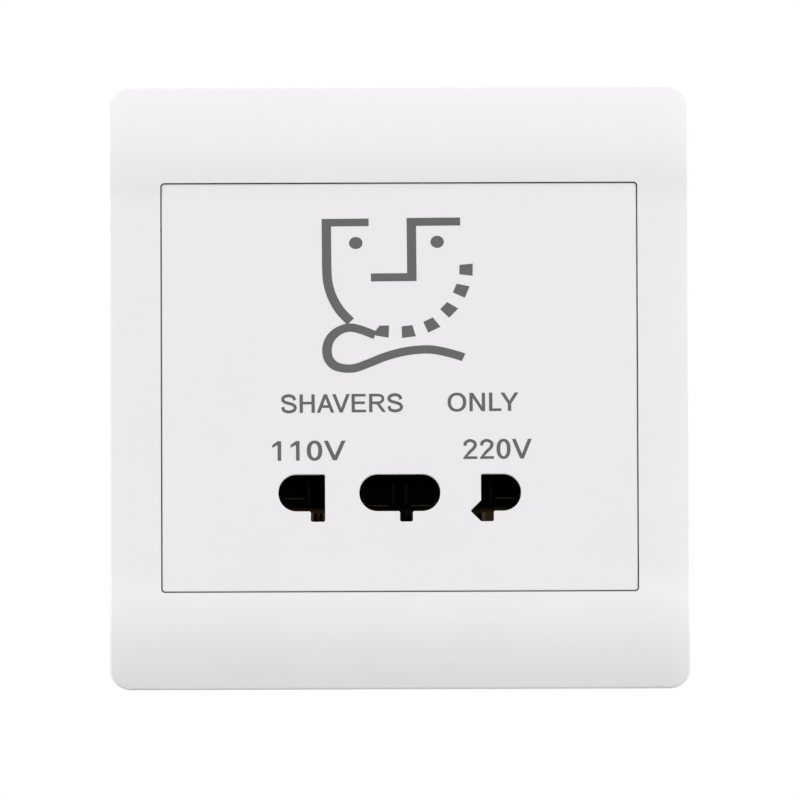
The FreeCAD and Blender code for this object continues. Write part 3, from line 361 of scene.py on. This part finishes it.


# %% Darken the contacts
# The contacts are painted dark as shade, with a painted highlight line on the jaws' lips.
outer_shaded_brass = shaded_brass("outer_shaded_brass", (0.115, 0.078, 0.032), glint_z=-16.0, glint_x=13.9)
middle_shaded_brass = shaded_brass("middle_shaded_brass", (0.020, 0.018, 0.016), glint_z=-17.1, glint_x=1.7)
contact_finish = {"contact_110v": outer_shaded_brass, "contact_common": middle_shaded_brass, "contact_220v": outer_shaded_brass}
for contact, brass in contact_finish.items():
    nodes[contact].data.materials[0] = brass

# %% [markdown]
# ## The printed sign
# The sign is pad printed in grey ink: the common picture of a face being shaved, which tells any user
# what the outlet is for. It could be a texture, but ink has crisp edges that a mesh keeps at any
# distance. Each stroke is a flat strip with mitred corners, a film of ink thick, on the panel's face.

# %% Helpers for ink
panel_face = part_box("socket_panel")[0].y
print_turn = math.radians(0.35)
print_shift = Vector((-0.10, 0.09))
weld_mm = 0.002


def on_panel(x, z):
    """A place on the panel's face, in millimetres from its middle, as the print sits and leans on it."""
    turned = Matrix.Rotation(print_turn, 2) @ Vector((x, z)) + print_shift
    return Vector((turned.x * MM, panel_face, turned.y * MM))


def stroke_sides(points, widths):
    """Both edges of a stroke; each run has its own width, and corners are mitred."""
    points = [Vector(point) for point in points]
    runs = [(b - a).normalized() for a, b in zip(points, points[1:])]
    offsets = [Vector((-run.y, run.x)) * width / 2 for run, width in zip(runs, widths)]
    left, right = [], []
    for i, point in enumerate(points):
        before, after = max(i - 1, 0), min(i, len(runs) - 1)
        out = offsets[before].copy()
        turn = runs[before].cross(runs[after])
        if abs(turn) > 1e-4:
            out += runs[before] * (offsets[after] - offsets[before]).cross(runs[after]) / turn
        left.append(point + out)
        right.append(point - out)
    return left, right


def smooth(points, steps=12):
    """A round line through the given points, eased at each of them."""
    points = [Vector(point) for point in points]
    ends = [points[0] * 2 - points[1]] + points + [points[-1] * 2 - points[-2]]
    line = []
    for a, b, c, d in zip(ends, ends[1:], ends[2:], ends[3:]):
        for step in range(steps):
            t = step / steps
            line.append(b + (c - a) * t / 2 + (a * 2 - b * 5 + c * 4 - d) * t * t / 2
                        + (b * 3 - c * 3 + d - a) * t ** 3 / 2)
    return line + [points[-1]]


def between_edges(left, right):
    """The faces of a stroke, from its two edges."""
    return [[a, b, d, c] for a, b, c, d in zip(left, right, left[1:], right[1:])]


def print_on(name, faces, ink, film_mm=0.02):
    """Lay flat faces on the panel as one film of ink, riding on the socket."""
    shape = bmesh.new()
    for corners in faces:
        shape.faces.new([shape.verts.new(on_panel(*corner)) for corner in corners])
    bmesh.ops.remove_doubles(shape, verts=shape.verts, dist=weld_mm * MM)
    for face in shape.faces:
        face.normal_update()
        if face.normal.y > 0:
            face.normal_flip()
    mesh = bpy.data.meshes.new(name)
    shape.to_mesh(mesh)
    shape.free()
    mesh.materials.append(ink)
    piece = bpy.data.objects.new(name, mesh)
    scene.collection.objects.link(piece)
    film = piece.modifiers.new("ink_film", "SOLIDIFY")
    film.thickness = film_mm * MM
    film.offset = 1.0
    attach(piece, "root")
    print(name, "has", len(mesh.polygons), "faces")
    return piece


# %% The grey ink
ink_dark, ink_light = (0.094, 0.095, 0.094), (0.109, 0.110, 0.109)


def printed_ink():
    """Flat grey ink, a little uneven as a pad leaves it."""
    finish, tree, shader, place = new_finish("print_grey")
    wear = noise(tree, place, 0.25, detail=3.0)
    tree.links.new(between(tree, wear, ink_dark, ink_light), shader.inputs["Base Color"])
    tree.links.new(drift(tree, wear, 0.45, 0.6), shader.inputs["Roughness"])
    return finish


print_grey = printed_ink()
print("ink", print_grey.name)

# %% Draw the face
cheek_bar, flat_bar, upright_bar = 1.13, 1.19, 1.39
brow_z = 24.46
cheek_x, cheek_foot = -10.54, 17.6
nose_x, nose_foot = 2.10, 16.25

cheek = [(-4.25, brow_z), (cheek_x, brow_z), (cheek_x, cheek_foot)]
chin = smooth([(cheek_x, cheek_foot), (-10.38, 15.5), (-9.75, 13.35), (-8.6, 11.35), (-7.08, 9.72)])
profile = cheek + chin[1:]
sign = between_edges(*stroke_sides(profile, [cheek_bar] + [upright_bar] * (len(profile) - 2)))

nose = [(9.36, brow_z), (nose_x, brow_z), (nose_x, nose_foot), (-3.98, nose_foot)]
sign += between_edges(*stroke_sides(nose, [flat_bar, upright_bar, flat_bar]))

eye_wide, eye_tall = 1.0, 0.9
eye_sides = 40
eye_turns = [math.tau * step / eye_sides for step in range(eye_sides)]
for eye_x, eye_z in ((-6.19, 21.40), (5.91, 21.46)):
    sign.append([(eye_x + eye_wide * math.cos(a), eye_z + eye_tall * math.sin(a)) for a in eye_turns])

# The stubble: wedges along the chin's other side, each with its angle and how far out it stands
chin_x, chin_z = 10.0, 9.4
chin_middle = Vector((0.12, 17.5))
wedge_depth, wedge_inner, wedge_outer = 1.84, 0.75, 0.97
wedge_wide, wedge_tall = 1.07, 0.93
for degrees, out in ((-1.3, 0.04), (-20.5, -0.12), (-41.3, -0.15), (-61.7, 0.09), (-82.4, 0.01)):
    way = Vector((math.cos(math.radians(degrees)), math.sin(math.radians(degrees))))
    middle = chin_middle + Vector((way.x * (chin_x + out), way.y * (chin_z + out)))
    wedge = []
    for side, reach, half in ((1, -0.5, wedge_inner), (1, 0.5, wedge_outer), (-1, 0.5, wedge_outer),
                              (-1, -0.5, wedge_inner)):
        step = way * wedge_depth * reach + Vector((-way.y, way.x)) * half * side
        wedge.append(middle + Vector((step.x * wedge_wide, step.y * wedge_tall)))
    sign.append(wedge)
sign.append([(-2.80, 9.06), (-1.36, 9.09), (-1.44, 7.26), (-3.23, 7.59), (-3.72, 7.80), (-3.50, 8.16)])
print_on("sign_face", sign, print_grey)

# %% Draw the shaver's cord, in a second film, so that it may cross the first
cord_width = 1.24
loop_x, loop_swell = -8.4, 0.08
cord_film = 0.024
cord_line = smooth([
    (-3.45, 7.68), (-5.9, 8.60), (-7.5, 8.80), (-9.0, 8.26), (-10.1, 7.2), (-10.6, 5.77), (-10.4, 4.25),
    (-9.5, 3.2), (-8.1, 2.77), (-6.5, 2.80), (-4.5, 3.47), (-2.1, 4.40), (0.28, 5.06), (2.66, 5.41),
    (5.03, 5.43), (7.41, 4.94), (9.25, 4.40), (9.66, 4.22),
], steps=6)
cord_widths = [cord_width + loop_swell * max(0.0, loop_x - (a.x + b.x) / 2)
               for a, b in zip(cord_line, cord_line[1:])]
print_on("sign_cord", between_edges(*stroke_sides(cord_line, cord_widths)), print_grey, film_mm=cord_film)

# %% [markdown]
# ## The printed legends
# Plain upright capitals say what the socket is for, and name the two voltages over their outlets.
# Blender's own font has other letter shapes, so these are drawn as a sign writer would: upright stems,
# slanting stems with level ends, level bars, rings and a few bent strokes. All sizes are in hundredths
# of a capital's height, so one alphabet serves every legend, stretched to the width it has here.

# %% Pens for letters
stem, bar = 17.4, 14.4
ring_sides = 48


def slant(x0, z0, x1, z1, width=stem):
    """A stem with level ends, upright or slanting."""
    half = width / 2
    return [[(x0 - half, z0), (x0 + half, z0), (x1 + half, z1), (x1 - half, z1)]]


def level(x0, x1, z):
    """A level bar."""
    return [[(x0, z - bar / 2), (x1, z - bar / 2), (x1, z + bar / 2), (x0, z + bar / 2)]]


def ring(x, wide, tall=103.0, square=2.2):
    """A round letter, a little squarer than an ellipse."""
    edges = []
    for reach_x, reach_z in ((wide / 2, tall / 2), (wide / 2 - stem, tall / 2 - bar)):
        edge = []
        for step in range(ring_sides + 1):
            angle = math.tau * step / ring_sides
            c, s = math.cos(angle), math.sin(angle)
            edge.append((x + reach_x * math.copysign(abs(c) ** (2 / square), c),
                         50 + reach_z * math.copysign(abs(s) ** (2 / square), s)))
        edges.append(edge)
    return between_edges(*edges)


def bent(points, width, foot=None):
    """A curved stroke; foot gives the two corners on which it ends, where it stands on a bar."""
    line = smooth(points, steps=6)
    left, right = stroke_sides(line, [width] * (len(line) - 1))
    if foot:
        left.append(Vector(foot[0]))
        right.append(Vector(foot[1]))
    return between_edges(left, right)


# %% The alphabet
curl = [(77, 69), (70, 86), (46, 94), (21, 87), (14, 73), (23, 60), (47, 52), (71, 43), (80, 28), (72, 13),
        (47, 6), (21, 13), (13, 32)]
swan = [(13, 68), (18, 85), (37, 94), (57, 86), (62, 71), (54, 54), (37, 37)]
bowl = [(26.7, 92.8), (50, 92.8), (67, 91), (79.5, 84), (82.5, 72), (78.5, 60.5), (66, 52.5), (50, 51),
        (26.7, 51)]
left_stem = slant(18, 0, 18, 100)
tent = [(0, 0), (38, 100), (55, 100), (93, 0), (75, 0), (46.5, 76), (18, 0)]
letters = {
    "S": (93, bent(curl, 16.5)),
    "H": (101, slant(19, 0, 19, 100) + slant(82, 0, 82, 100) + level(27.7, 73.3, 53)),
    "A": (93, [tent, [(27.75, 26), (65.25, 26), (59.85, 40.4), (33.15, 40.4)]]),
    "V": (93, [[(x, 100 - z) for x, z in tent]]),
    "E": (93, left_stem + level(26.7, 84, 92.8) + level(26.7, 80, 52) + level(26.7, 86, 7.2)),
    "R": (101, left_stem + bent(bowl, bar) + slant(58, 43.8, 89, 0, 18.8)),
    "O": (109, ring(54.5, 96)),
    "N": (101, [[(10, 0), (10, 100), (28.5, 100), (73.4, 27), (73.4, 100), (90, 100), (90, 0), (71.5, 0),
                 (26.6, 73), (26.6, 0)]]),
    "L": (78, left_stem + level(26.7, 73, 7.2)),
    "Y": (93, [[(0, 100), (20, 100), (46.5, 55), (73, 100), (93, 100), (55.2, 40), (55.2, 0), (37.8, 0),
                (37.8, 40)]]),
    "1": (78, [[(15, 66), (15, 80), (38, 100), (53, 100), (53, 0), (37.6, 0), (37.6, 80)]]),
    "0": (78, ring(38.5, 66)),
    "2": (78, bent(swan, 15.2, foot=((25.5, 13.6), (5.5, 6)))
          + [[(5.5, 6), (5, 0), (71, 0), (71, 13.6), (25.5, 13.6)]]),
}
kerning = {"AV": -10, "LY": -10}
print(len(letters), "letters and numerals")

# %% Print the legends
def legend(name, words, left_x, right_x, base_z, height):
    """Set a word between two places along the panel, its capitals as high as told."""
    faces, pen_x = [], 0.0
    for letter, after in zip(words, words[1:] + " "):
        advance, marks = letters[letter]
        faces += [[(x + pen_x, z) for x, z in face] for face in marks]
        pen_x += advance + kerning.get(letter + after, 0)
    xs = [x for face in faces for x, z in face]
    wide = (right_x - left_x) / (max(xs) - min(xs))
    tall = height / 100
    return print_on(name, [[(left_x + (x - min(xs)) * wide, base_z + z * tall) for x, z in face]
                           for face in faces], print_grey)


capital, numeral = 2.74, 2.92
words_z, volts_z = -3.79, -10.88
legend("legend_shavers", "SHAVERS", -17.50, 0.60, words_z, capital)
legend("legend_only", "ONLY", 7.22, 17.76, words_z, capital)
legend("legend_110v", "110V", -18.88, -7.97, volts_z, numeral)
legend("legend_220v", "220V", 9.46, 19.66, volts_z, numeral)

# %% [markdown]
# ## The floor
# A plate like this is photographed over a pale table, which catches its soft shadow. It could be a sheet
# that sweeps up behind, but the camera looks slightly upwards, so the table is out of the photograph and
# a plain plane will do. Seen directly it is pale; to light that bounces it is greyer, so that no glow
# comes up under the frame.

# %% Floor
floor_drop = 55 * MM
floor_size = 6.0
cloud_mm = 400.0
floor_grey, floor_pale = (0.67, 0.67, 0.67), (0.70, 0.70, 0.70)
floor_bounce = (0.56, 0.56, 0.56, 1.0)


def pale_floor():
    """Pale and slightly clouded to see, greyer to light that bounces."""
    finish, tree, shader, place = new_finish("floor_pale")
    cloud = between(tree, noise(tree, place, cloud_mm), floor_grey, floor_pale)
    dim = tree.nodes.new("ShaderNodeRGB").outputs["Color"]
    dim.default_value = floor_bounce
    bounced = tree.nodes.new("ShaderNodeLightPath").outputs["Is Diffuse Ray"]
    tree.links.new(mixed(tree, bounced, cloud, dim), shader.inputs["Base Color"])
    shader.inputs["Roughness"].default_value = 0.9
    return finish


ground = bmesh.new()
bmesh.ops.create_grid(ground, x_segments=1, y_segments=1, size=floor_size / 2)
floor_mesh = bpy.data.meshes.new("floor")
ground.to_mesh(floor_mesh)
ground.free()
floor_mesh.materials.append(pale_floor())
floor = bpy.data.objects.new("floor", floor_mesh)
floor.location.z = cad_box[0].z - floor_drop
scene.collection.objects.link(floor)
print("floor at", round(floor.location.z, 4), "m")

# %% [markdown]
# ## The white room
# The photograph has a plain white ground and an even light from all round. Many lamps could give that,
# but the world gives it at once. Whatever looks at it, the camera or a mirror-like finish, sees plain
# white; matt surfaces get the room's own light, which is stronger in front of the plate than behind it,
# so that no white on the socket reaches pure white.

# %% White room
room_front, room_rear = 1.145, 0.50
dimming_starts, dimming_ends = 0.0, 0.4
world = bpy.data.worlds.new("white_room")
scene.world = world
world.use_nodes = True
room_tree = world.node_tree
way_out = room_tree.nodes.new("ShaderNodeTexCoord")
split = room_tree.nodes.new("ShaderNodeSeparateXYZ")
room_tree.links.new(way_out.outputs["Generated"], split.inputs["Vector"])
depth = room_tree.nodes.new("ShaderNodeMapRange")
depth.inputs["From Min"].default_value = dimming_starts
depth.inputs["From Max"].default_value = dimming_ends
depth.inputs["To Min"].default_value = room_front
depth.inputs["To Max"].default_value = room_rear
room_tree.links.new(split.outputs["Y"], depth.inputs["Value"])

room = room_tree.nodes["Background"]
seen = room_tree.nodes.new("ShaderNodeBackground")
for light in (room, seen):
    light.inputs["Color"].default_value = (1.0, 1.0, 1.0, 1.0)
seen.inputs["Strength"].default_value = 1.0
room_tree.links.new(depth.outputs["Result"], room.inputs["Strength"])

path = room_tree.nodes.new("ShaderNodeLightPath")
looks = path.outputs["Is Camera Ray"]
for kind in ("Is Glossy Ray", "Is Transmission Ray"):
    either = sums(room_tree, "MAXIMUM", looks)
    room_tree.links.new(path.outputs[kind], either.inputs[1])
    looks = either.outputs["Value"]
choice = room_tree.nodes.new("ShaderNodeMixShader")
room_tree.links.new(looks, choice.inputs["Fac"])
room_tree.links.new(room.outputs["Background"], choice.inputs[1])
room_tree.links.new(seen.outputs["Background"], choice.inputs[2])
room_tree.links.new(choice.outputs["Shader"], room_tree.nodes["World Output"].inputs["Surface"])
print("room", room_front, "in front and", room_rear, "behind")

# %% [markdown]
# ## Soft boxes
# A wide box in front gives the plate its shape, and a high one behind does so for the case. A long slim
# box on each side, level with the plate, brightens the frame's outer slopes, the right one more than
# the left. The front and side boxes stand low and would burn out the floor beside them, so light
# linking lets them light the socket only.

# %% Lamps
def soft_box(name, place, width, height, power):
    """A rectangular lamp that faces the socket."""
    lamp = bpy.data.lights.new(name, "AREA")
    lamp.shape = "RECTANGLE"
    lamp.size, lamp.size_y = width, height
    lamp.energy = power
    box = bpy.data.objects.new(name, lamp)
    box.location = place
    box.rotation_euler = (-Vector(place)).to_track_quat("-Z", "Y").to_euler()
    box.visible_camera = False
    scene.collection.objects.link(box)
    return box


socket_only = bpy.data.collections.new("socket_only")
for piece in scene.objects:
    if piece.type == "MESH" and piece.name != floor.name:
        socket_only.objects.link(piece)
box_front = soft_box("box_front", (0.0, -2.2, 0.1), width=1.6, height=1.2, power=5.8)
soft_box("box_rear", (0.5, 1.6, 1.2), width=1.4, height=1.0, power=10.0)
box_left = soft_box("box_left", (-1.2, 0.0, 0.1), width=1.4, height=0.3, power=6.0)
box_right = soft_box("box_right", (1.2, 0.0, 0.1), width=1.4, height=0.3, power=7.0)
for low_box in (box_front, box_left, box_right):
    low_box.light_linking.receiver_collection = socket_only
